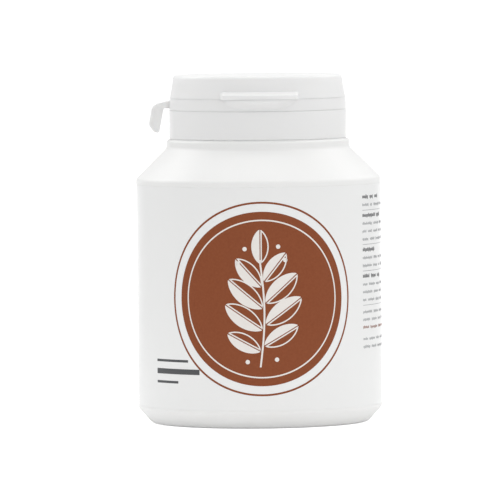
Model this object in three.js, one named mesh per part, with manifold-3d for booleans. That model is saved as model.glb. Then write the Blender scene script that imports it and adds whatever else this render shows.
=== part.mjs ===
// A plastic tablet pot: a blown bottle with a sloped shoulder, a paper label, and a snap-on flip-top
// cap whose lid, tear strip and ring are moulded together and part along two thin seams.
// Millimetres, +Z up. The origin is the centre of the base, on the surface that the pot stands on.
// The thumb lip and the front of the label face -Y, and the hinge is at the back, at +Y.
import * as THREE from "three";
import { mergeVertices } from "three/addons/utils/BufferGeometryUtils.js";
import Module from "manifold-3d";

// Driving dimensions.
const bodyRadius = 34.65;
const potHeight = 99;
const wall = 1.5;

// The bottle.
const footRadius = 30.75; // where the foot turns up into the heel
const footRound = 2.2;
const heelTop = 4.35; // the sloped heel ends here, at the full radius
const heelRound = 0.9;
const recessRadius = 26.2; // the middle of the base is pushed up, so that the pot stands on a ring
const recessDepth = 0.9;
const recessSlope = 1.6;
const floorTop = 2.3;
const shoulderStart = 69.3;
const shoulderRound = 1.2;
const collarRadius = 25.9; // the short upright collar below the cap
const collarStart = 78.05;
const collarTop = 80.3;
const collarRound = 0.5;
const neckRadius = 22.6;
const boreRadius = 21;
const boreDraft = 0.3; // the ledge under the collar falls this far towards the shoulder
const rimTop = 91.45;
const rimRound = 0.6;
const beadReach = 0.7; // the bead round the neck that the ring snaps under
const beadBottom = 85.2;
const beadRise = 0.3;
const beadTop = 86.2;
const beadEnd = 87.6;

// The label lies in a shallow panel, flush with the wall above and below it.
const labelBottom = 5.3;
const labelTop = 67.6;
const labelThickness = 0.25;
const panelDepth = 0.35;
const panelMargin = 0.15;

// The cap. Its wall leans in a little from the ring up to the top of the lid.
const ringBottom = 80.6;
const ringTop = 88.55;
const ringRadius = 25.15;
const ringRound = 1.3;
const capBore = 23.7; // inside the ring and the lid
const hookRadius = 22.95; // the ring's hook, which grips under the neck's bead
const hookTop = 84.8;
const hookHeight = 2.3;
const hookSlope = 0.2;
const stripBottom = 88.85;
const stripTop = 91.75;
const stripRadiusBelow = 25.05;
const stripRadiusAbove = 24.95;
const stripBore = 24;
const stripRound = 0.3;
const lidBottom = 92.05;
const lidRadius = 24.85; // at the bead round the lid's lower edge
const lidBeadHeight = 0.75;
const lidBeadReach = 0.2;
const lidBeadRound = 0.25;
const lidShoulderRadius = 23.6;
const lidRound = 1.3;
const lidCrown = 0.55; // the top is a shallow dome that rises this far to its middle
const lidCrownSteps = 3;
const lidCeiling = 97.5;
const lidWallAbove = 1;
const plugRadius = 20.6; // the ring under the lid that seals the bore
const plugBottom = 89.6;
const plugWall = 1;
const plugTip = 0.6; // the wall left at the foot of the plug's chamfer
const plugChamfer = 0.8;

// The thumb lip on the lid and the chin below it on the strip.
const lipHalfWidth = 10.9;
const lipRadius = 26.5;
const lipTop = 94.3; // the ledge slopes down from here to its front
const ledgeFront = 93.25;
const ledgeRound = 0.3;
const lipRound = 0.6;
const chinHalfWidth = 10.8; // at its top, from where its sides turn in at chinSide
const chinSide = 91.1;
const chinFoot = 7.6; // half its width at the bottom
const chinBottom = 89.4;
const chinCorner = 1.2;
const chinRadius = 26.4;
const chinFace = 0.5;

// The hinge at the back, and the strip's ends beside it.
const leafHalfWidth = 5.5;
const leafTop = 91.65;
const leafRadius = 24.9;
const leafThickness = 0.9;
const stripEnd = 6.2;

// The pull tab hangs from the strip at the left.
const tabThickness = 1.2;
const tabOutline = [
  // x, z and rounding, from the web's root under the strip to the web's root above
  [-24.4, 89.4],
  [-26.95, 89.4],
  [-28, 81.95, 0.6],
  [-29.5, 82.2, 0.9],
  [-31, 84.3, 1.8],
  [-30.2, 89.6, 1],
  [-28.6, 90.6, 0.8],
  [-26.9, 90.9],
  [-24.4, 91.25],
];

// Cutting plates reach this far out, past every wall, and their front and back stop short of the axis.
const beyond = 30;
const nearAxis = 10;
const overshoot = 1;

const aroundSegments = 60;
const cornerSteps = 3;

const wasm = await Module();
wasm.setup();

// A closed three.js geometry as a manifold-3d solid.
function solidOf(geometry) {
  const bare = geometry.clone();
  bare.deleteAttribute("normal");
  bare.deleteAttribute("uv");
  const merged = mergeVertices(bare, 1e-4);
  return new wasm.Manifold(
    new wasm.Mesh({
      numProp: 3,
      vertProperties: merged.attributes.position.array,
      triVerts: new Uint32Array(merged.index.array),
    }),
  );
}

function geometryOf(solid) {
  const mesh = solid.getMesh();
  return new THREE.BufferGeometry()
    .setAttribute("position", new THREE.BufferAttribute(mesh.vertProperties, 3))
    .setIndex(new THREE.BufferAttribute(mesh.triVerts, 1))
    .toNonIndexed();
}

// Turns [x, y, rounding] corners into points, with an arc at each corner that has a rounding.
function rounded(corners, closed) {
  const points = [];
  corners.forEach(([x, y, rounding = 0], i) => {
    const here = new THREE.Vector2(x, y);
    const atEnd = !closed && (i === 0 || i === corners.length - 1);
    if (!rounding || atEnd) {
      points.push(here);
      return;
    }
    const before = corners[(i - 1 + corners.length) % corners.length];
    const after = corners[(i + 1) % corners.length];
    const back = new THREE.Vector2(before[0], before[1]).sub(here).normalize();
    const on = new THREE.Vector2(after[0], after[1]).sub(here).normalize();
    const half = Math.acos(THREE.MathUtils.clamp(back.dot(on), -1, 1)) / 2;
    const start = here.clone().addScaledVector(back, rounding / Math.tan(half));
    const end = here.clone().addScaledVector(on, rounding / Math.tan(half));
    const towards = back.clone().add(on).normalize();
    const centre = here.clone().addScaledVector(towards, rounding / Math.sin(half));
    const from = start.clone().sub(centre).angle();
    let turn = end.clone().sub(centre).angle() - from;
    if (turn > Math.PI) turn -= 2 * Math.PI;
    if (turn < -Math.PI) turn += 2 * Math.PI;
    for (let k = 0; k <= cornerSteps; k++) {
      const angle = from + (turn * k) / cornerSteps;
      const spoke = new THREE.Vector2(Math.cos(angle), Math.sin(angle));
      points.push(centre.clone().addScaledVector(spoke, rounding));
    }
  });
  if (closed) points.push(points[0].clone());
  return points;
}

// A turned solid from [radius, height, rounding] corners, listed up the outside and down the inside.
function turned(corners, closed = true) {
  const lathe = new THREE.LatheGeometry(rounded(corners, closed), aroundSegments);
  return solidOf(lathe.rotateX(Math.PI / 2));
}

// A plate whose outline is seen from the front, as [x, z, rounding] corners, between two values of y.
function frontPlate(corners, yNear, yFar) {
  const outline = new THREE.Shape(rounded(corners, true));
  const plate = new THREE.ExtrudeGeometry(outline, {
    depth: yFar - yNear,
    bevelEnabled: false,
  });
  return solidOf(plate.rotateX(Math.PI / 2).translate(0, yFar, 0));
}

function piece(name, solid, colour, roughness) {
  const material = new THREE.MeshStandardMaterial({ color: colour, roughness, metalness: 0 });
  const mesh = new THREE.Mesh(geometryOf(solid), material);
  mesh.name = name;
  return mesh;
}

// The slope of the shoulder, and the corners of its inner face, one wall inside it.
const shoulderRun = bodyRadius - collarRadius;
const shoulderRise = collarStart - shoulderStart;
const shoulderLength = Math.hypot(shoulderRun, shoulderRise);
const innerRadius = bodyRadius - wall;
const ledgeUnder = collarTop - wall;

function innerShoulderAt(radius) {
  const across = (bodyRadius - radius) * shoulderRise;
  return shoulderStart + (across - wall * shoulderLength) / shoulderRun;
}

function innerShoulderRadius(height) {
  const up = (height - shoulderStart) * shoulderRun;
  return bodyRadius - (up + wall * shoulderLength) / shoulderRise;
}

function pot() {
  const panel = bodyRadius - panelDepth;
  const panelLow = labelBottom - panelMargin;
  const panelHigh = labelTop + panelMargin;
  const innerHeel = heelTop + wall * Math.tan(Math.PI / 8);
  return turned(
    [
      [0, recessDepth],
      [recessRadius - recessSlope, recessDepth],
      [recessRadius, 0],
      [footRadius, 0, footRound],
      [bodyRadius, heelTop, heelRound],
      [bodyRadius, panelLow - panelDepth],
      [panel, panelLow],
      [panel, panelHigh],
      [bodyRadius, panelHigh + panelDepth],
      [bodyRadius, shoulderStart, shoulderRound],
      [collarRadius, collarStart, collarRound],
      [collarRadius, collarTop, collarRound],
      [neckRadius, collarTop],
      [neckRadius, beadBottom],
      [neckRadius + beadReach, beadBottom + beadRise],
      [neckRadius + beadReach, beadTop],
      [neckRadius, beadEnd],
      [neckRadius, rimTop, rimRound],
      [boreRadius, rimTop, rimRound],
      [boreRadius, ledgeUnder],
      [innerShoulderRadius(ledgeUnder - boreDraft), ledgeUnder - boreDraft],
      [innerRadius, innerShoulderAt(innerRadius), shoulderRound],
      [innerRadius, innerHeel, heelRound],
      [footRadius, floorTop, heelRound],
      [0, floorTop],
    ],
    false,
  );
}

function label() {
  const inside = bodyRadius - (panelDepth + labelThickness) / 2;
  return turned([
    [inside, labelBottom],
    [inside + labelThickness, labelBottom],
    [inside + labelThickness, labelTop],
    [inside, labelTop],
  ]);
}

// The ring, with the hook inside it and the leaf at the back that carries the lid's film hinge.
function capRing() {
  const ring = turned([
    [hookRadius + hookSlope, ringBottom],
    [ringRadius, ringBottom, ringRound],
    [ringRadius, ringTop],
    [capBore, ringTop],
    [capBore, hookTop + hookSlope],
    [hookRadius, hookTop],
    [hookRadius, hookTop - hookHeight],
  ]);
  const leafRoot = ringTop - overshoot;
  const leafBand = turned([
    [leafRadius - leafThickness, leafRoot],
    [leafRadius, leafRoot],
    [leafRadius, leafTop],
    [leafRadius - leafThickness, leafTop],
  ]);
  const leafOutline = [
    [-leafHalfWidth, leafRoot - overshoot],
    [leafHalfWidth, leafRoot - overshoot],
    [leafHalfWidth, leafTop + overshoot],
    [-leafHalfWidth, leafTop + overshoot],
  ];
  return ring.add(leafBand.intersect(frontPlate(leafOutline, nearAxis, beyond)));
}

// The chin swells from the strip's face up to the thumb lip. From the front it is a wide, shallow U.
function chin() {
  const swell = turned([
    [stripBore, chinBottom],
    [stripRadiusBelow, chinBottom],
    [chinRadius, stripTop - chinFace],
    [chinRadius, stripTop],
    [stripBore, stripTop],
  ]);
  const outline = [
    [-chinFoot, chinBottom, chinCorner],
    [chinFoot, chinBottom, chinCorner],
    [chinHalfWidth, chinSide, chinCorner],
    [chinHalfWidth, stripTop + overshoot],
    [-chinHalfWidth, stripTop + overshoot],
    [-chinHalfWidth, chinSide, chinCorner],
  ];
  return swell.intersect(frontPlate(outline, -beyond, -nearAxis));
}

// The strip runs round the front between the two sides of the hinge. A short web reaches out from it
// and folds down into a rounded finger tab.
function tearStrip() {
  const band = turned([
    [stripBore, stripBottom],
    [stripRadiusBelow, stripBottom, stripRound],
    [stripRadiusAbove, stripTop, stripRound],
    [stripBore, stripTop],
  ]);
  const hingeGap = [
    [-stripEnd, stripBottom - overshoot],
    [stripEnd, stripBottom - overshoot],
    [stripEnd, stripTop + overshoot],
    [-stripEnd, stripTop + overshoot],
  ];
  const tab = frontPlate([...tabOutline].reverse(), -tabThickness / 2, tabThickness / 2);
  return band.subtract(frontPlate(hingeGap, nearAxis, beyond)).add(chin()).add(tab);
}

function lid() {
  const beadOver = lidBottom + lidBeadHeight;
  const crown = [];
  for (let k = 1; k < lidCrownSteps; k++) {
    const share = 1 - k / lidCrownSteps;
    crown.push([lidShoulderRadius * share, potHeight - lidCrown * share * share]);
  }
  const shell = turned(
    [
      [0, lidCeiling],
      [plugRadius - plugWall, lidCeiling],
      [plugRadius - plugWall, plugBottom],
      [plugRadius - plugWall + plugTip, plugBottom],
      [plugRadius, plugBottom + plugChamfer],
      [plugRadius, lidCeiling],
      [lidShoulderRadius - lidWallAbove, lidCeiling],
      [capBore, lidBottom],
      [lidRadius, lidBottom, lidBeadRound],
      [lidRadius, beadOver, lidBeadRound],
      [lidRadius - lidBeadReach, beadOver + lidBeadReach],
      [lidShoulderRadius, potHeight - lidCrown, lidRound],
      ...crown,
      [0, potHeight],
    ],
    false,
  );
  const lipBand = turned([
    [stripBore, lidBottom],
    [lipRadius, lidBottom],
    [lipRadius, ledgeFront, ledgeRound],
    [stripBore, lipTop],
  ]);
  const lipOutline = [
    [-lipHalfWidth, lidBottom - overshoot],
    [lipHalfWidth, lidBottom - overshoot],
    [lipHalfWidth, lipTop, lipRound],
    [-lipHalfWidth, lipTop, lipRound],
  ];
  return shell.add(lipBand.intersect(frontPlate(lipOutline, -beyond, -nearAxis)));
}

const tabletPot = new THREE.Group();
tabletPot.add(
  piece("pot", pot(), 0xf1f1ee, 0.38),
  piece("label", label(), 0xe9ebea, 0.45),
  piece("cap_ring", capRing(), 0xf0f0ec, 0.4),
  piece("tear_strip", tearStrip(), 0xf0f0ec, 0.4),
  piece("lid", lid(), 0xf0f0ec, 0.4),
);

export default tabletPot;
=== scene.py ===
import math
import random

import bmesh
import bpy
from mathutils import Matrix, Vector


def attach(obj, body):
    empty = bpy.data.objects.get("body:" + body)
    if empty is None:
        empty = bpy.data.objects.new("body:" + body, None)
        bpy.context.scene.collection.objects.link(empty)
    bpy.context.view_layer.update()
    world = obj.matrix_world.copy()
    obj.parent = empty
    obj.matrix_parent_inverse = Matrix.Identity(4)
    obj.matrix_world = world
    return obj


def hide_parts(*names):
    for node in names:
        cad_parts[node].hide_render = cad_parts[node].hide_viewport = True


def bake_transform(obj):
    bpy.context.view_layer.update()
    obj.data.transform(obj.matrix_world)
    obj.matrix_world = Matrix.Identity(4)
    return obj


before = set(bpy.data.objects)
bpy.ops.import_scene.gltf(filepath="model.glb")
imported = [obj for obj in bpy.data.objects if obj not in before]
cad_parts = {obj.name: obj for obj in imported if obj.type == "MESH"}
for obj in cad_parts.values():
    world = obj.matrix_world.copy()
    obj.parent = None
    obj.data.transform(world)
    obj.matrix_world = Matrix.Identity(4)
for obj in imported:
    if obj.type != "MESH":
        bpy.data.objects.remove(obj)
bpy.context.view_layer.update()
mm = 0.001
fullTurn = 2 * math.pi

# a white tablet pot with a printed label and a hinged snap cap, closed, with its tear strip still on
# +Z is up, the thumb lip faces -Y, the hinge is at +Y and the pull tab hangs at -X


# the camera comes first, in front of the thumb lip and a little above it

view = {
    "distance": 2000 * mm,
    "farthest": 20,  # metres
    "aim": Vector((-2.55, 0, 48.75)) * mm,
    "turn": -1.2, "lookDown": 2.65, "roll": -0.55,  # degrees, the turn from straight in front
    "lens": 507,
}


def makeCamera():
    turn = math.radians(view["turn"])
    down = math.radians(view["lookDown"])
    back = Vector((
        math.sin(turn) * math.cos(down),
        -math.cos(turn) * math.cos(down),
        math.sin(down),
    ))
    camera = bpy.data.objects.new("camera", bpy.data.cameras.new("camera"))
    camera.data.lens = view["lens"]
    camera.data.clip_end = view["farthest"]
    camera.location = view["aim"] + back * view["distance"]
    camera.rotation_euler = (-back).to_track_quat("-Z", "Y").to_euler()
    camera.rotation_euler.rotate_axis("Z", math.radians(view["roll"]))
    bpy.context.collection.objects.link(camera)
    bpy.context.scene.camera = camera


makeCamera()
bpy.context.scene.view_settings.view_transform = "Standard"
print("camera set")


# the finishes share one shader group

def makeNode(tree, kind, **settings):
    node = tree.nodes.new(kind)
    for key, value in settings.items():
        setattr(node, key, value)
    return node


satin = {
    "cloudDetail": 4, "skinDetail": 2, "glossFrom": 0.3, "glossTo": 0.7, "skinHeight": 0.1 * mm,
    "inputs": [
        ("Tone", "Color"), ("Cloud Tone", "Color"), ("Cloud Scale", "Float"), ("Skin Scale", "Float"),
        ("Skin Depth", "Float"), ("Gloss Low", "Float"), ("Gloss High", "Float"),
    ],
    "outputs": [("Color", "Color"), ("Roughness", "Float"), ("Normal", "Vector")],
}


def makeSatinGroup():
    # cloudy tone, uneven gloss and a very fine orange peel, for plastics, coated paper and ink
    tree = bpy.data.node_groups.new("satinSkin", "ShaderNodeTree")
    for way, sockets in (("INPUT", satin["inputs"]), ("OUTPUT", satin["outputs"])):
        for name, kind in sockets:
            tree.interface.new_socket(name=name, in_out=way, socket_type="NodeSocket" + kind)
    given = makeNode(tree, "NodeGroupInput")
    out = makeNode(tree, "NodeGroupOutput")
    place = makeNode(tree, "ShaderNodeTexCoord")
    cloud = makeNode(tree, "ShaderNodeTexNoise")
    cloud.inputs["Detail"].default_value = satin["cloudDetail"]
    skin = makeNode(tree, "ShaderNodeTexNoise")
    skin.inputs["Detail"].default_value = satin["skinDetail"]
    link = tree.links.new
    link(place.outputs["Object"], cloud.inputs["Vector"])
    link(place.outputs["Object"], skin.inputs["Vector"])
    link(given.outputs["Cloud Scale"], cloud.inputs["Scale"])
    link(given.outputs["Skin Scale"], skin.inputs["Scale"])
    tone = makeNode(tree, "ShaderNodeMix", data_type="RGBA")
    link(cloud.outputs["Fac"], tone.inputs["Factor"])
    link(given.outputs["Tone"], tone.inputs["A"])
    link(given.outputs["Cloud Tone"], tone.inputs["B"])
    link(tone.outputs["Result"], out.inputs["Color"])
    gloss = makeNode(tree, "ShaderNodeMapRange", interpolation_type="SMOOTHSTEP")
    gloss.inputs["From Min"].default_value = satin["glossFrom"]
    gloss.inputs["From Max"].default_value = satin["glossTo"]
    link(cloud.outputs["Fac"], gloss.inputs["Value"])
    link(given.outputs["Gloss Low"], gloss.inputs["To Min"])
    link(given.outputs["Gloss High"], gloss.inputs["To Max"])
    link(gloss.outputs["Result"], out.inputs["Roughness"])
    bump = makeNode(tree, "ShaderNodeBump")
    bump.inputs["Distance"].default_value = satin["skinHeight"]
    link(skin.outputs["Fac"], bump.inputs["Height"])
    link(given.outputs["Skin Depth"], bump.inputs["Strength"])
    link(bump.outputs["Normal"], out.inputs["Normal"])
    return tree


satinSkin = makeSatinGroup()


def makeFinish(name, settings):
    material = bpy.data.materials.new(name)
    material.use_nodes = True
    tree = material.node_tree
    shader = tree.nodes["Principled BSDF"]
    skin = makeNode(tree, "ShaderNodeGroup", node_tree=satinSkin)
    for socket, value in settings["skin"].items():
        skin.inputs[socket].default_value = value
    tree.links.new(skin.outputs["Color"], shader.inputs["Base Color"])
    tree.links.new(skin.outputs["Roughness"], shader.inputs["Roughness"])
    tree.links.new(skin.outputs["Normal"], shader.inputs["Normal"])
    for socket, value in settings["shader"].items():
        shader.inputs[socket].default_value = value
    return material


bottlePlasticLook = {
    "skin": {
        "Tone": (0.83, 0.83, 0.825, 1), "Cloud Tone": (0.81, 0.81, 0.80, 1), "Cloud Scale": 45,
        "Skin Scale": 1400, "Skin Depth": 0.06, "Gloss Low": 0.34, "Gloss High": 0.42,
    },
    "shader": {
        "Subsurface Weight": 0.35, "Subsurface Radius": (1, 0.98, 0.95), "Subsurface Scale": 0.5 * mm,
        "IOR": 1.5,
    },
}
capPlasticLook = {
    "skin": {
        "Tone": (0.814, 0.814, 0.812, 1), "Cloud Tone": (0.798, 0.798, 0.795, 1), "Cloud Scale": 60,
        "Skin Scale": 1800, "Skin Depth": 0.06, "Gloss Low": 0.29, "Gloss High": 0.34,
    },
    "shader": {
        "Subsurface Weight": 0.6, "Subsurface Radius": (1, 0.98, 0.95), "Subsurface Scale": 0.7 * mm,
        "IOR": 1.49,
    },
}
labelPaperLook = {
    "skin": {
        "Tone": (0.814, 0.818, 0.813, 1), "Cloud Tone": (0.806, 0.809, 0.804, 1), "Cloud Scale": 90,
        "Skin Scale": 2600, "Skin Depth": 0.05, "Gloss Low": 0.29, "Gloss High": 0.33,
    },
    "shader": {"IOR": 1.5},
}
brownInkLook = {
    "skin": {
        "Tone": (0.203, 0.040, 0.004, 1), "Cloud Tone": (0.255, 0.065, 0.017, 1), "Cloud Scale": 1600,
        "Skin Scale": 2600, "Skin Depth": 0.05, "Gloss Low": 0.38, "Gloss High": 0.48,
    },
    "shader": {"IOR": 1.4},
}
whiteInkLook = {
    "skin": {
        "Tone": (0.80, 0.77, 0.74, 1), "Cloud Tone": (0.78, 0.74, 0.70, 1), "Cloud Scale": 120,
        "Skin Scale": 2600, "Skin Depth": 0.05, "Gloss Low": 0.38, "Gloss High": 0.48,
    },
    "shader": {"IOR": 1.45},
}
darkInkLook = {
    "skin": {
        "Tone": (0.045, 0.048, 0.052, 1), "Cloud Tone": (0.06, 0.063, 0.068, 1), "Cloud Scale": 2200,
        "Skin Scale": 2600, "Skin Depth": 0.05, "Gloss Low": 0.29, "Gloss High": 0.34,
    },
    "shader": {"IOR": 1.6},
}
greyInkLook = {
    "skin": {
        "Tone": (0.24, 0.25, 0.26, 1), "Cloud Tone": (0.30, 0.31, 0.32, 1), "Cloud Scale": 2200,
        "Skin Scale": 2600, "Skin Depth": 0.05, "Gloss Low": 0.29, "Gloss High": 0.34,
    },
    "shader": {"IOR": 1.6},
}

bottlePlastic = makeFinish("bottlePlastic", bottlePlasticLook)
capPlastic = makeFinish("capPlastic", capPlasticLook)
labelPaper = makeFinish("labelPaper", labelPaperLook)
brownInk = makeFinish("brownInk", brownInkLook)
whiteInk = makeFinish("whiteInk", whiteInkLook)
darkInk = makeFinish("darkInk", darkInkLook)
greyInk = makeFinish("greyInk", greyInkLook)
print("finishes made")


# most pieces are an outline of rounded corners, spun round the pot's axis

modelling = {
    "cornerSegments": 6, "spinParts": 16, "sharpAngle": 32,
    "weld": 0.001 * mm, "inkWeld": 0.0001 * mm,  # points nearer than this count as one
}


def roundCorner(bm, vert, rounding):
    # the bevel's offset runs along the edges, so it comes from the rounding and the corner's angle
    first, second = [edge.other_vert(vert).co - vert.co for edge in vert.link_edges]
    half = first.angle(second) / 2
    bmesh.ops.bevel(
        bm, geom=[vert], offset=rounding / math.tan(half), offset_type="OFFSET",
        segments=modelling["cornerSegments"], profile=0.5, affect="VERTICES", material=-1,
    )


def cutEdges(bm, longest, low=-math.inf, high=math.inf):
    # splits every edge that lies between two heights into lengths of at most longest, all in mm
    slack = modelling["weld"]
    for edge in bm.edges[:]:
        heights = [vert.co.z for vert in edge.verts]
        if min(heights) < low * mm - slack or max(heights) > high * mm + slack:
            continue
        cuts = math.ceil(edge.calc_length() / (longest * mm)) - 1
        if cuts > 0:
            bmesh.ops.subdivide_edges(bm, edges=[edge], cuts=cuts)


def drawOutline(corners, longest):
    # an outline in the XZ plane from [x, z, rounding] corners in mm, closed but for its line on the axis
    bm = bmesh.new()
    verts = [bm.verts.new((corner[0] * mm, 0, corner[1] * mm)) for corner in corners]
    bm.faces.new(verts)
    for vert, corner in zip(verts, corners):
        if len(corner) > 2:
            roundCorner(bm, vert, corner[2] * mm)
    bmesh.ops.delete(bm, geom=bm.faces[:], context="FACES_ONLY")
    weld = modelling["weld"]
    onAxis = [edge for edge in bm.edges if max(abs(vert.co.x) for vert in edge.verts) < weld]
    bmesh.ops.delete(bm, geom=onAxis, context="EDGES")
    cutEdges(bm, longest)
    return bm


def spinOutline(bm, steps, start=0.0, angle=fullTurn, parts=modelling["spinParts"]):
    # turns the outline about Z: one part of the turn is spun and then repeated, which is far quicker
    centre = {"cent": (0, 0, 0), "axis": (0, 0, 1), "dvec": (0, 0, 0)}
    bmesh.ops.rotate(bm, verts=bm.verts[:], cent=(0, 0, 0), matrix=Matrix.Rotation(start, 3, "Z"))
    bmesh.ops.spin(
        bm, geom=bm.verts[:] + bm.edges[:], angle=angle / parts, steps=steps // parts,
        use_merge=False, use_normal_flip=False, use_duplicate=False, **centre,
    )
    if parts > 1:
        bmesh.ops.spin(
            bm, geom=bm.verts[:] + bm.edges[:] + bm.faces[:], angle=angle * (parts - 1) / parts,
            steps=parts - 1, use_merge=False, use_normal_flip=False, use_duplicate=True, **centre,
        )
    bmesh.ops.remove_doubles(bm, verts=bm.verts[:], dist=modelling["weld"])
    openEdges = [edge for edge in bm.edges if edge.is_boundary]
    if openEdges:
        bmesh.ops.holes_fill(bm, edges=openEdges, sides=0)
    bmesh.ops.recalc_face_normals(bm, faces=bm.faces[:])


def scaleRadius(vert, radius, target):
    vert.co.x *= target / radius
    vert.co.y *= target / radius


def finishPiece(bm, name, material, sharpAngle=modelling["sharpAngle"]):
    mesh = bpy.data.meshes.new(name)
    bm.to_mesh(mesh)
    bm.free()
    mesh.shade_smooth()
    mesh.set_sharp_from_angle(angle=math.radians(sharpAngle))
    mesh.materials.append(material)
    piece = bpy.data.objects.new(name, mesh)
    bpy.context.collection.objects.link(piece)
    return piece


def smoothStep(low, high, value):
    share = min(max((value - low) / (high - low), 0), 1)
    return share * share * (3 - 2 * share)


# the bottle: base, heel, wall, shoulder, collar and neck, then the inside from the rim down

bottle = {
    "steps": 256, "longest": 3,
    "corners": [
        [0, 0.9], [1.2, 0.9], [24.6, 0.9, 1.2], [26.2, 0, 0.9], [30.75, 0, 2.2], [34.65, 4.35, 1.2],
        [34.65, 4.97, 0.1], [34.43, 6.5, 0.3], [34.43, 66.6, 0.3], [34.65, 67.95, 0.1],
        [34.65, 69.3, 1.2], [25.9, 78.05, 1.4], [25.9, 80.3, 0.6],
        # a low rim that closes the seam under the cap ring
        [25.28, 80.3, 0.1], [24.98, 80.54, 0.03], [24.68, 80.36], [24.38, 80.3], [22.6, 80.3, 0.4],
        [22.6, 85.2], [23.3, 85.5, 0.2], [23.3, 86.2, 0.2], [22.6, 87.6, 0.5],
        [22.6, 91.45, 0.6], [21, 91.45, 0.6], [21, 78.8, 0.4], [23.33, 78.5, 0.6],
        [33.15, 68.68, 1.2], [33.15, 4.97, 0.9], [30.75, 2.3, 1.4], [0, 2.3],
    ],
}


def makeBottle():
    bm = drawOutline(bottle["corners"], bottle["longest"])
    spinOutline(bm, bottle["steps"])
    piece = finishPiece(bm, "bottle", bottlePlastic)
    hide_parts("pot")
    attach(piece, "pot_body")


pinch = {"length": 34, "width": 0.5, "height": 0.22, "top": 0.95, "edge": 0.08, "edgeSegments": 2}


def makePinchLine():
    # the welded line across the pushed-up base, where the mould nipped the tube shut
    bm = bmesh.new()
    bmesh.ops.create_cube(bm, size=1)
    size = Vector((pinch["length"], pinch["width"], pinch["height"])) * mm
    bmesh.ops.scale(bm, vec=size, verts=bm.verts[:])
    bmesh.ops.bevel(
        bm, geom=bm.edges[:], offset=pinch["edge"] * mm, offset_type="OFFSET",
        segments=pinch["edgeSegments"], profile=0.5, affect="EDGES", material=-1,
    )
    bmesh.ops.translate(bm, verts=bm.verts[:], vec=(0, 0, (pinch["top"] - pinch["height"] / 2) * mm))
    piece = finishPiece(bm, "pinchLine", bottlePlastic)
    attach(piece, "pot_body")


makeBottle()
makePinchLine()
print("bottle made")


# the paper label, wrapped once round the wall

label = {
    "steps": 384, "longest": 3,
    "radius": 34.6, "thickness": 0.13, "bottom": 5.15, "top": 67.75,
    "edge": 0.4,  # rounding of the outer edges, as a share of the thickness
}
flap = {
    "steps": 24,
    "start": 84, "angle": 12,  # degrees from +X
    "low": -0.03, "high": 0.04, "climb": 0.5,  # it climbs over this share of its length
    "thickness": 0.05, "inset": 0.02,
}


def bandOutline(outside, thickness, low, high):
    inside, edge = outside - thickness, thickness * label["edge"]
    corners = [[inside, low], [outside, low, edge], [outside, high, edge], [inside, high]]
    return drawOutline(corners, label["longest"])


def makeLabel():
    bm = bandOutline(label["radius"], label["thickness"], label["bottom"], label["top"])
    spinOutline(bm, label["steps"])
    piece = finishPiece(bm, "wrapLabel", labelPaper)
    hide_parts("label")
    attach(piece, "pot_body")


def makeLabelFlap():
    # the end of the label, lapped over its start at the back, rises to a low step
    start, angle = math.radians(flap["start"]), math.radians(flap["angle"])
    low, high = label["bottom"] + flap["inset"], label["top"] - flap["inset"]
    bm = bandOutline(label["radius"], flap["thickness"], low, high)
    spinOutline(bm, flap["steps"], start, angle, parts=1)
    for vert in bm.verts:
        turned = (math.atan2(vert.co.y, vert.co.x) - start) / angle
        rise = flap["low"] + (flap["high"] - flap["low"]) * smoothStep(0, flap["climb"], turned)
        radius = math.hypot(vert.co.x, vert.co.y)
        scaleRadius(vert, radius, radius + rise * mm)
    piece = finishPiece(bm, "labelFlap", labelPaper)
    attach(piece, "pot_body")


makeLabel()
makeLabelFlap()
print("label made")


# the print on the label is thin films of ink, drawn flat and wrapped round it
# u runs round the label from its front, towards +X, and v is the height, both in mm

ink = {"film": 0.012, "slice": 1.0, "lift": 0.02}
faceFront = Matrix.Rotation(fullTurn / 4, 4, "X")  # stands a flat shape up, facing -Y


def pour(bm, part):
    mesh = bpy.data.meshes.new("part")
    part.to_mesh(mesh)
    part.free()
    bm.from_mesh(mesh)
    bpy.data.meshes.remove(mesh)


def addDisc(bm, u, v, radius, segments):
    matrix = Matrix.Translation((u * mm, 0, v * mm)) @ faceFront
    bmesh.ops.create_circle(bm, cap_ends=True, segments=segments, radius=radius * mm, matrix=matrix)


def addHoop(bm, u, v, radius, width, segments):
    matrix = Matrix.Translation((u * mm, 0, v * mm)) @ faceFront
    edges = []
    for size in (radius, radius - width):
        made = bmesh.ops.create_circle(
            bm, cap_ends=False, segments=segments, radius=size * mm, matrix=matrix
        )
        edges += list({edge for vert in made["verts"] for edge in vert.link_edges})
    bmesh.ops.bridge_loops(bm, edges=edges)


def addRule(bm, left, low, width, height):
    places = [(left, low), (left + width, low), (left + width, low + height), (left, low + height)]
    bm.faces.new([bm.verts.new((u * mm, 0, v * mm)) for u, v in places])


def wrapInk(bm, name, material, level=1):
    # slices the flat shapes, gives them the thickness of ink and wraps them round the label
    left = min(vert.co.x for vert in bm.verts) / mm
    right = max(vert.co.x for vert in bm.verts) / mm
    step = ink["slice"]
    for cut in range(math.ceil(left / step), math.floor(right / step) + 1):
        geom = bm.verts[:] + bm.edges[:] + bm.faces[:]
        place = (cut * step * mm, 0, 0)
        bmesh.ops.bisect_plane(
            bm, geom=geom, dist=modelling["inkWeld"], plane_co=place, plane_no=(1, 0, 0)
        )
    made = bmesh.ops.extrude_face_region(bm, geom=bm.faces[:], use_keep_orig=True)
    back = [item for item in made["geom"] if isinstance(item, bmesh.types.BMVert)]
    bmesh.ops.translate(bm, verts=back, vec=(0, ink["film"] * mm, 0))
    bmesh.ops.recalc_face_normals(bm, faces=bm.faces[:])
    outside = label["radius"] + ink["lift"] * level
    for vert in bm.verts:
        angle = vert.co.x / (label["radius"] * mm)
        radius = outside * mm - vert.co.y
        vert.co.x = radius * math.sin(angle)
        vert.co.y = -radius * math.cos(angle)
    piece = finishPiece(bm, name, material)
    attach(piece, "pot_body")


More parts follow.
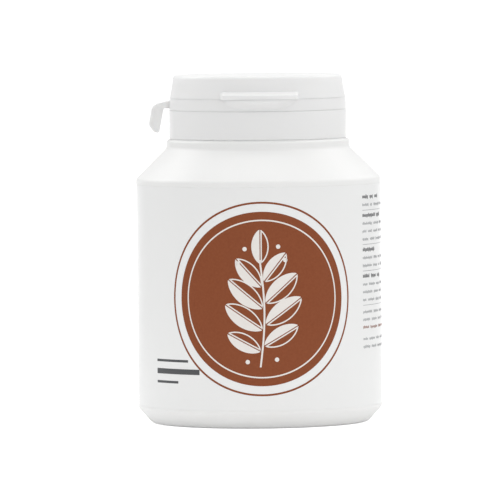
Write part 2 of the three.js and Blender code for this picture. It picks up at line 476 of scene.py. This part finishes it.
# a brown medallion with a leafy sprig in white line and fill

medallion = {
    "middle": 36.6, "segments": 128,
    "radius": 24.4, "hoop": 27.2, "hoopWidth": 0.55, "innerHoop": 22.2, "innerWidth": 0.4,
    "stem": {"low": 17.5, "high": 47.5, "width": 0.5, "sway": 1.2, "cuts": 24},
    # height on the stem, side, length, half width and lean from upright in degrees
    "leaves": [
        (22.0, -1, 10.5, 2.3, 62), (23.5, 1, 11.0, 2.4, 60), (28.0, -1, 12.5, 2.7, 56),
        (29.5, 1, 12.5, 2.7, 54), (34.0, -1, 12.5, 2.7, 50), (35.5, 1, 12.0, 2.7, 48),
        (40.0, -1, 10.5, 2.4, 42), (41.5, 1, 10.0, 2.3, 38), (46.5, 0, 9.5, 2.3, 0),
    ],
    "leafSegments": 36, "leafLine": 0.36, "rib": 0.14, "leafRoot": 0.5,
    "leafPoint": 1.5,  # 1 gives a leaf round ends, and more draws them out
    "berries": [(-4.2, 19.0), (4.0, 19.6), (-6.8, 46.6), (6.6, 47.4), (-4.8, 50.6), (4.6, 51.2)],
    "berryRadius": 0.62, "berrySegments": 20,
}


def stemSway(height):
    stem = medallion["stem"]
    share = (height - stem["low"]) / (stem["high"] - stem["low"])
    return stem["sway"] * math.sin(share * math.pi) - stem["sway"] / 2


def halfLeaf(side, filled, length, halfWidth):
    # from a disc: half of it is kept, pointed at both ends, and emptied unless it is filled
    part = bmesh.new()
    bmesh.ops.create_circle(part, cap_ends=True, segments=medallion["leafSegments"], radius=1)
    geom = part.verts[:] + part.edges[:] + part.faces[:]
    bmesh.ops.bisect_plane(
        part, geom=geom, dist=modelling["weld"], plane_co=(0, 0, 0), plane_no=(0, side, 0),
        clear_inner=True,
    )
    for vert in part.verts:
        across = abs(vert.co.y) ** medallion["leafPoint"]
        vert.co.x = (vert.co.x + 1) / 2 * length * mm
        vert.co.y = side * (across * halfWidth + medallion["rib"]) * mm
    if not filled:
        middle = part.faces[:]
        bmesh.ops.inset_region(
            part, faces=middle, thickness=medallion["leafLine"] * mm, use_even_offset=True,
            use_boundary=True,
        )
        bmesh.ops.delete(part, geom=middle, context="FACES")
    return part


def addStem(bm):
    stem = medallion["stem"]
    part = bmesh.new()
    addRule(part, -stem["width"] / 2, stem["low"], stem["width"], stem["high"] - stem["low"])
    uprights = sorted(part.edges, key=lambda edge: edge.calc_length())[-2:]
    bmesh.ops.subdivide_edges(part, edges=uprights, cuts=stem["cuts"], use_grid_fill=True)
    for vert in part.verts:
        vert.co.x += stemSway(vert.co.z / mm) * mm
    pour(bm, part)


def addLeaf(bm, height, side, length, halfWidth, lean):
    # one half of it is filled and the other is drawn in line
    root = Vector((stemSway(height) + side * medallion["leafRoot"], 0, height)) * mm
    turn = Matrix.Rotation(math.radians(90 - side * lean), 4, Vector((0, -1, 0)))
    for half in (1, -1):
        part = halfLeaf(half, half == 1, length, halfWidth)
        matrix = Matrix.Translation(root) @ turn @ faceFront
        bmesh.ops.transform(part, matrix=matrix, verts=part.verts[:])
        pour(bm, part)


def makeMedallion():
    middle, segments = medallion["middle"], medallion["segments"]
    brown = bmesh.new()
    addDisc(brown, 0, middle, medallion["radius"], segments)
    addHoop(brown, 0, middle, medallion["hoop"], medallion["hoopWidth"], segments)
    wrapInk(brown, "medallionPrint", brownInk)
    white = bmesh.new()
    addHoop(white, 0, middle, medallion["innerHoop"], medallion["innerWidth"], segments)
    addStem(white)
    for leaf in medallion["leaves"]:
        addLeaf(white, *leaf)
    for u, v in medallion["berries"]:
        addDisc(white, u, v, medallion["berryRadius"], medallion["berrySegments"])
    wrapInk(white, "sprigPrint", whiteInk, 2)


makeMedallion()
print("medallion printed")


# three plain rules at the lower left, and small print that spells nothing at the right and the back

frontRules = [(-34.9, 18.6, 12.6, 0.7), (-34.9, 15.2, 16.4, 1.5), (-34.9, 12.6, 9.0, 0.7)]
finePrint = {
    "seed": 7,
    "wordMin": 1.6, "wordMax": 6.2, "wordGap": 0.9,
    "height": 0.75, "stroke": 0.2, "strokeGap": 0.17,
    "headHeight": 1.05, "headStroke": 0.34, "headGap": 0.14, "headStretch": 1.5,
    "rises": (0.7, 0.7, 0.8, 1.0), "drops": (0, 0, 0, 0.25),  # of the strokes, in heights of the line
    "rowStep": 2.19, "ruleHeight": 0.12,
}
rightText = {
    "left": 34, "width": 41, "top": 64.9,
    "sections": [1, 3, 2, 3],  # lines under each heading
    "headWidth": (9, 16), "lastShare": (0.35, 0.8),
    "gapAbove": 1.25, "gapBelow": 0.78,  # beside the rule that ends a section
    # under the sections come two lines, a brown one and two short ones, their steps in rows
    "noteSteps": (0.63, 0.97), "noteShare": (0.5, 0.8),
    "brownWidth": 19,
    "footSteps": (1.5, 1), "footShare": 0.45,
}
backTable = {
    "left": -98, "width": 44, "top": 62,
    "headWidth": 22, "headRise": 1.2,
    "rows": 9, "rowSteps": 1.3, "textRise": 0.75,
    "nameWidth": (10, 24), "figureColumn": 9, "figureWidth": (4, 8),
    "notes": 5, "noteShare": (0.7, 1),
}
printRandom = random.Random(finePrint["seed"])


def addWords(bm, left, width, low, height):
    # each word is a run of short upright strokes, some of them taller and some reaching lower
    bold = height > finePrint["height"]
    stroke = finePrint["headStroke" if bold else "stroke"]
    gap = finePrint["headGap" if bold else "strokeGap"]
    end = left + width
    while left < end - finePrint["wordMin"]:
        word = printRandom.uniform(finePrint["wordMin"], finePrint["wordMax"])
        word = min(word * (finePrint["headStretch"] if bold else 1), end - left)
        for letter in range(int(word / (stroke + gap))):
            rise = printRandom.choice(finePrint["rises"]) * height
            drop = printRandom.choice(finePrint["drops"]) * height
            addRule(bm, left + letter * (stroke + gap), low - drop, stroke, rise + drop)
        left += word + finePrint["wordGap"]


def addHeading(bm, left, width, low):
    addWords(bm, left, width, low, finePrint["headHeight"])


def addLine(bm, left, width, low):
    addWords(bm, left, width, low, finePrint["height"])


def addRightText(dark, grey, brown):
    left, width, step = rightText["left"], rightText["width"], finePrint["rowStep"]
    row = rightText["top"]
    for lines in rightText["sections"]:
        row -= finePrint["headHeight"]
        addHeading(dark, left, printRandom.uniform(*rightText["headWidth"]), row)
        for line in range(lines):
            row -= step
            share = 1 if line < lines - 1 else printRandom.uniform(*rightText["lastShare"])
            addLine(grey, left, width * share, row)
        row -= rightText["gapAbove"]
        addRule(grey, left, row, width, finePrint["ruleHeight"])
        row -= rightText["gapBelow"]
    for steps in rightText["noteSteps"]:
        row -= step * steps
        addLine(grey, left, width * printRandom.uniform(*rightText["noteShare"]), row)
    row -= step
    addLine(brown, left, rightText["brownWidth"], row)
    for steps in rightText["footSteps"]:
        row -= step * steps
        addLine(grey, left, width * rightText["footShare"], row)


def addBackTable(dark, grey):
    left, width, step = backTable["left"], backTable["width"], finePrint["rowStep"]
    figures = left + width - backTable["figureColumn"]
    row = backTable["top"]
    addHeading(dark, left, backTable["headWidth"], row + backTable["headRise"])
    for line in range(backTable["rows"]):
        addRule(grey, left, row, width, finePrint["ruleHeight"])
        row -= step * backTable["rowSteps"]
        low = row + backTable["textRise"]
        addLine(grey, left, printRandom.uniform(*backTable["nameWidth"]), low)
        addLine(grey, figures, printRandom.uniform(*backTable["figureWidth"]), low)
    addRule(grey, left, row, width, finePrint["ruleHeight"])
    row -= step
    for line in range(backTable["notes"]):
        row -= step
        addLine(grey, left, width * printRandom.uniform(*backTable["noteShare"]), row)


def makeFinePrint():
    dark, grey, brown = bmesh.new(), bmesh.new(), bmesh.new()
    for rule in frontRules:
        addRule(dark, *rule)
    addRightText(dark, grey, brown)
    addBackTable(dark, grey)
    wrapInk(dark, "boldPrint", darkInk)
    wrapInk(grey, "finePrint", greyInk)
    wrapInk(brown, "brownPrint", brownInk)


makeFinePrint()
print("fine print printed")


# the cap ring snaps on under the neck's bead, and carries the hinge leaf at the back

hinge = {"radius": 24.5, "steps": 24}  # half widths beside the hinge are measured at this radius
capRing = {
    "steps": 256, "longest": 1.5,
    "corners": [
        [23.15, 80.32, 0.3], [25.15, 80.32, 0.8], [25.15, 88.62, 0.08],
        [23.7, 88.62], [23.7, 85, 0.2], [22.95, 84.8, 0.2], [22.95, 82, 0.5],
    ],
}
hingeLeaf = {
    "halfWidth": 5.5, "longest": 0.6,
    "corners": [[24.05, 88.2], [24.85, 88.2], [24.85, 91.45, 0.15], [24.05, 91.45, 0.15]],
}


def hingePart(settings):
    # an outline spun through a short arc at the back
    half = math.asin(settings["halfWidth"] / hinge["radius"])
    bm = drawOutline(settings["corners"], settings["longest"])
    spinOutline(bm, hinge["steps"], fullTurn / 4 - half, 2 * half, parts=1)
    return bm


def makeCapRing():
    bm = drawOutline(capRing["corners"], capRing["longest"])
    spinOutline(bm, capRing["steps"])
    piece = finishPiece(bm, "capRing", capPlastic)
    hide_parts("cap_ring")
    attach(piece, "pot_body")


def makeHingeLeaf():
    piece = finishPiece(hingePart(hingeLeaf), "hingeLeaf", capPlastic)
    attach(piece, "pot_body")


makeCapRing()
makeHingeLeaf()
print("cap ring made")


# the tear strip runs round between ring and lid, but for the hinge, and has a chin under the thumb lip

strip = {
    "steps": 480, "longest": 0.5,
    "fineCut": 0.2, "fineLow": 88.9, "fineHigh": 91.7,  # shorter edges, where the chin stands out
    "halfGap": 6.2,  # beside the hinge
    # a thin tongue above and below closes most of each seam
    "corners": [
        [24, 88.64], [25.02, 88.64], [25.03, 88.74], [25.09, 88.74, 0.05], [24.99, 91.93, 0.04],
        [24.96, 91.93], [24.95, 91.98], [24, 91.98],
    ],
    "face": 24.7,  # only what lies outside this radius is pulled out to the chin
    "chinHalf": 10.6, "chinSide": 91.1, "chinFoot": 6.6, "chinBottom": 89.15, "chinBlend": 1.2,
    "chinReach": 1.65, "chinSlope": 2.2, "chinSides": 0.62, "chinPower": 0.75,
    "chinCrest": 90.9, "chinTuck": 0.08,  # above its crest the chin draws in again
}


def softMin(first, second, blend):
    share = max(blend - abs(first - second), 0) / blend
    return min(first, second) - share * share * blend / 4


def chinDepth(across, height):
    # how far inside the chin's outline a point lies: a wide bowl with slanted sides
    low, foot = strip["chinBottom"], strip["chinFoot"]
    rise, run = strip["chinSide"] - low, strip["chinHalf"] - foot
    slanted = ((height - low) * run - (across - foot) * rise) / math.hypot(rise, run)
    inside = softMin(strip["chinHalf"] - across, slanted, strip["chinBlend"])
    return softMin(inside * strip["chinSides"], height - low, strip["chinBlend"])


def bulgeChin(bm):
    for vert in bm.verts:
        radius = math.hypot(vert.co.x, vert.co.y) / mm
        if vert.co.y > 0 or radius < strip["face"]:
            continue
        depth = chinDepth(abs(vert.co.x) / mm, vert.co.z / mm)
        share = smoothStep(0, strip["chinSlope"], depth) ** strip["chinPower"]
        above = max(vert.co.z / mm - strip["chinCrest"], 0)
        reach = strip["chinReach"] - strip["chinTuck"] * above ** 2
        scaleRadius(vert, radius, radius + reach * share)


def makeTearStrip():
    half = math.asin(strip["halfGap"] / hinge["radius"])
    bm = drawOutline(strip["corners"], strip["longest"])
    cutEdges(bm, strip["fineCut"], strip["fineLow"], strip["fineHigh"])
    spinOutline(bm, strip["steps"], fullTurn / 4 + half, fullTurn - 2 * half)
    bulgeChin(bm)
    piece = finishPiece(bm, "tearStrip", capPlastic)
    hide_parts("tear_strip")
    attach(piece, "pot_body")


tab = {
    "thickness": 1.2, "edge": 0.28, "edgeSegments": 4, "edgeWeld": 0.01, "sharpAngle": 45,
    "corners": [
        [-24.4, 89.2], [-26.7, 89.25, 0.4], [-28.05, 82.2, 0.6], [-29.45, 82.55, 0.9],
        [-31, 84.5, 1.8], [-30, 89.7, 1.1], [-28.6, 90.65, 0.8], [-26.9, 91.05, 0.4], [-24.4, 91.6],
    ],
    "rim": 0.3, "recess": 0.16,  # a shallow panel in both faces
}


def makePullTab():
    # a flat tab with rounded edges, which hangs beside the ring from a short web on the strip
    bm = bmesh.new()
    verts = [bm.verts.new((x * mm, tab["thickness"] / 2 * mm, z * mm)) for x, z, *_ in tab["corners"]]
    bm.faces.new(verts)
    for vert, corner in zip(verts, tab["corners"]):
        if len(corner) > 2:
            roundCorner(bm, vert, corner[2] * mm)
    made = bmesh.ops.extrude_face_region(bm, geom=bm.faces[:], use_keep_orig=True)
    moved = [item for item in made["geom"] if isinstance(item, bmesh.types.BMVert)]
    bmesh.ops.translate(bm, verts=moved, vec=(0, -tab["thickness"] * mm, 0))
    bmesh.ops.recalc_face_normals(bm, faces=bm.faces[:])
    faces = sorted(bm.faces, key=lambda face: face.calc_area())[-2:]
    rims = [edge for face in faces for edge in face.edges]
    bmesh.ops.bevel(
        bm, geom=rims, offset=tab["edge"] * mm, offset_type="OFFSET",
        segments=tab["edgeSegments"], profile=0.5, affect="EDGES", material=-1,
    )
    bmesh.ops.remove_doubles(bm, verts=bm.verts[:], dist=tab["edgeWeld"] * mm)
    for side in (1, -1):
        panel = max(bm.faces, key=lambda face: face.normal.y * side * face.calc_area())
        bmesh.ops.inset_region(
            bm, faces=[panel], thickness=tab["rim"] * mm, depth=-tab["recess"] * mm,
            use_even_offset=False,
        )
    piece = finishPiece(bm, "pullTab", capPlastic, tab["sharpAngle"])
    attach(piece, "pot_body")


makeTearStrip()
makePullTab()
print("tear strip made")


# the lid: inside, plug ring and skirt, then the outside up to the gate mark in the middle of its top

lid = {
    "steps": 480, "longest": 2.5,
    "fineCut": 0.22, "fineLow": 91.99, "fineHigh": 94.6,  # shorter edges, where the lip stands out
    "corners": [
        [0, 97.5], [19.6, 97.5, 0.4], [19.6, 89.6, 0.3], [20.2, 89.6, 0.3], [20.6, 90.4, 0.5],
        [20.6, 97.5, 0.4], [22.6, 97.5, 0.4], [23.7, 91.99, 0.2], [24.87, 91.99, 0.05],
        [24.85, 92.3, 0.2], [24.68, 93.2, 0.6], [24.45, 94.6], [23.78, 98.62, 1.05],
        [15.73, 98.83, 12], [7.87, 98.95, 12], [2.2, 98.985, 0.2],
        [1.9, 98.8, 0.2], [0.5, 98.8, 0.1], [0.35, 98.95, 0.1], [0, 98.97],
    ],
    "rimRadius": 24.87, "edgeTop": 92.2,
    "lipRoot": 23.8,  # only what lies outside this radius is pulled out to the thumb lip
    "lipReach": 26.38, "lipLean": 0.17, "ledgeTop": 94.3, "ledgeBack": 24.3, "ledgeFront": 93.25,
    "lipHalf": 10.9,
    "lipInner": 1.2, "lipOuter": 0.3,  # its ends fade out from this far inside the half to this far past it
}


def lipRadiusAt(height):
    # the lip's leaning front face below, then the ledge, which slopes back to the wall
    above = height - lid["ledgeFront"]
    if above <= 0:
        return lid["lipReach"] - lid["lipLean"] * above
    slope = above / (lid["ledgeTop"] - lid["ledgeFront"])
    return lid["lipReach"] - (lid["lipReach"] - lid["ledgeBack"]) * slope


def pullLip(bm):
    root, rim = lid["lipRoot"], lid["rimRadius"]
    for vert in bm.verts:
        radius = math.hypot(vert.co.x, vert.co.y) / mm
        height = vert.co.z / mm
        if vert.co.y > 0 or radius < root or height > lid["ledgeTop"]:
            continue
        across = abs(vert.co.x) / mm
        inner, outer = lid["lipHalf"] - lid["lipInner"], lid["lipHalf"] + lid["lipOuter"]
        share = 1 - smoothStep(inner, outer, across)
        if height < lid["edgeTop"]:
            share *= min((radius - root) / (rim - root), 1)
            target = radius + lipRadiusAt(height) - rim
        else:
            target = max(lipRadiusAt(height), radius)
        scaleRadius(vert, radius, radius + (target - radius) * share)


def makeLid():
    bm = drawOutline(lid["corners"], lid["longest"])
    cutEdges(bm, lid["fineCut"], lid["fineLow"], lid["fineHigh"])
    spinOutline(bm, lid["steps"])
    pullLip(bm)
    piece = finishPiece(bm, "lidShell", capPlastic)
    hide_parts("lid")
    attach(piece, "lid_body")


film = {
    "halfWidth": 5.2, "longest": 0.1,
    "corners": [[24.55, 91.15], [24.85, 91.15], [24.85, 92.45], [24.55, 92.45]],
}


def makeFilmHinge():
    # the thin film that bends between the leaf and the lid
    piece = finishPiece(hingePart(film), "filmHinge", capPlastic)
    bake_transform(piece)


makeLid()
makeFilmHinge()
print("lid made")


# the studio: soft light from all round, as in a light tent, over a white floor

studio = {
    # brightness of the light that comes from each side
    "left": 0.66, "right": 0.8, "front": 0.89, "back": 0.44, "below": 0.6, "above": 1.18,
    # panels lit behind the pot: the least Y and the greatest Z of their directions, and what they add
    "panels": [(0.777, 1, 0.36), (0.9, 0, 0.33), (0.96, 0, 0.47)],
    "backdrop": 1.15,  # what the camera sees behind the pot
    "floorSize": 300 * mm, "floorDrop": 0.02 * mm, "floorSegments": 96,
    # name, place, width, height and power of each soft box, all aimed at the pot's shoulder
    "lamps": [
        ("leftBox", (-330, 200, 330), 260, 260, 0.4),
        ("rightBox", (330, 200, 330), 260, 260, 0.23),
        ("topBox", (0, -10, 480), 240, 50, 0.145),
        ("glintBox", (295, -68, 370), 16, 16, 0.1),
    ],
    "lampAim": (0, 0, 75),
    "floorTone": (0.93, 0.93, 0.93, 1), "floorRoughness": 0.9, "floorSpecular": 0.1,
    "floorLight": 0.084, "floorLightInner": 60 * mm, "floorLightOuter": 200 * mm,  # lit from beneath
    "floorGlow": 0.6,  # added for the camera alone, so that the floor stays white
}


def addMath(tree, operation, *values):
    # each value is a number or another node's output
    node = makeNode(tree, "ShaderNodeMath", operation=operation)
    for socket, value in zip(node.inputs, values):
        if isinstance(value, bpy.types.NodeSocket):
            tree.links.new(value, socket)
        else:
            socket.default_value = value
    return node.outputs[0]


def makeWorld():
    world = bpy.data.worlds.new("studio")
    bpy.context.scene.world = world
    world.use_nodes = True
    tree = world.node_tree
    tree.nodes.clear()
    place = makeNode(tree, "ShaderNodeTexCoord")
    split = makeNode(tree, "ShaderNodeSeparateXYZ")
    tree.links.new(place.outputs["Generated"], split.inputs[0])
    total = 0
    for axis, low, high in (("X", "left", "right"), ("Y", "front", "back"), ("Z", "below", "above")):
        along = split.outputs[axis]
        level = makeNode(tree, "ShaderNodeMix", data_type="FLOAT")
        level.inputs["A"].default_value = studio[low]
        level.inputs["B"].default_value = studio[high]
        tree.links.new(addMath(tree, "GREATER_THAN", along, 0), level.inputs["Factor"])
        square = addMath(tree, "MULTIPLY", along, along)
        total = addMath(tree, "MULTIPLY_ADD", square, level.outputs["Result"], total)
    for leastY, greatestZ, strength in studio["panels"]:
        behind = addMath(tree, "GREATER_THAN", split.outputs["Y"], leastY)
        below = addMath(tree, "LESS_THAN", split.outputs["Z"], greatestZ)
        panel = addMath(tree, "MULTIPLY", behind, below)
        total = addMath(tree, "MULTIPLY_ADD", panel, strength, total)
    seen = makeNode(tree, "ShaderNodeLightPath")
    shown = makeNode(tree, "ShaderNodeMix", data_type="FLOAT")
    tree.links.new(seen.outputs["Is Camera Ray"], shown.inputs["Factor"])
    tree.links.new(total, shown.inputs["A"])
    shown.inputs["B"].default_value = studio["backdrop"]
    light = makeNode(tree, "ShaderNodeBackground")
    light.inputs["Color"].default_value = (1, 1, 1, 1)
    tree.links.new(shown.outputs["Result"], light.inputs["Strength"])
    out = makeNode(tree, "ShaderNodeOutputWorld")
    tree.links.new(light.outputs[0], out.inputs["Surface"])


def makeLamps():
    for name, place, width, height, power in studio["lamps"]:
        lamp = bpy.data.lights.new(name, "AREA")
        lamp.shape = "RECTANGLE"
        lamp.size = width * mm
        lamp.size_y = height * mm
        lamp.energy = power
        holder = bpy.data.objects.new(name, lamp)
        holder.location = Vector(place) * mm
        toAim = Vector(studio["lampAim"]) - Vector(place)
        holder.rotation_euler = toAim.to_track_quat("-Z", "Y").to_euler()
        bpy.context.collection.objects.link(holder)


def makeFloorPaper():
    paper = bpy.data.materials.new("floorPaper")
    paper.use_nodes = True
    tree = paper.node_tree
    link = tree.links.new
    shader = tree.nodes["Principled BSDF"]
    shader.inputs["Base Color"].default_value = studio["floorTone"]
    shader.inputs["Roughness"].default_value = studio["floorRoughness"]
    shader.inputs["Specular IOR Level"].default_value = studio["floorSpecular"]
    shader.inputs["Emission Color"].default_value = (1, 1, 1, 1)
    place = makeNode(tree, "ShaderNodeTexCoord")
    away = makeNode(tree, "ShaderNodeVectorMath", operation="LENGTH")
    link(place.outputs["Object"], away.inputs[0])
    spot = makeNode(tree, "ShaderNodeMapRange", interpolation_type="SMOOTHSTEP")
    spot.inputs["From Min"].default_value = studio["floorLightInner"]
    spot.inputs["From Max"].default_value = studio["floorLightOuter"]
    spot.inputs["To Min"].default_value = studio["floorLight"]
    spot.inputs["To Max"].default_value = 0
    link(away.outputs["Value"], spot.inputs["Value"])
    seen = makeNode(tree, "ShaderNodeLightPath").outputs["Is Camera Ray"]
    glow = addMath(tree, "MULTIPLY_ADD", seen, studio["floorGlow"], spot.outputs["Result"])
    link(glow, shader.inputs["Emission Strength"])
    # clear from below, so that the base can be looked at
    side = makeNode(tree, "ShaderNodeNewGeometry")
    clear = makeNode(tree, "ShaderNodeBsdfTransparent")
    shown = makeNode(tree, "ShaderNodeMixShader")
    link(side.outputs["Backfacing"], shown.inputs[0])
    link(shader.outputs[0], shown.inputs[1])
    link(clear.outputs[0], shown.inputs[2])
    link(shown.outputs[0], tree.nodes["Material Output"].inputs["Surface"])
    return paper


def makeFloor():
    bm = bmesh.new()
    bmesh.ops.create_circle(
        bm, cap_ends=True, segments=studio["floorSegments"], radius=studio["floorSize"]
    )
    bmesh.ops.translate(bm, verts=bm.verts[:], vec=(0, 0, -studio["floorDrop"]))
    mesh = bpy.data.meshes.new("floor")
    bm.to_mesh(mesh)
    bm.free()
    mesh.materials.append(makeFloorPaper())
    floor = bpy.data.objects.new("floor", mesh)
    bpy.context.collection.objects.link(floor)


makeWorld()
makeLamps()
makeFloor()
print("studio made")
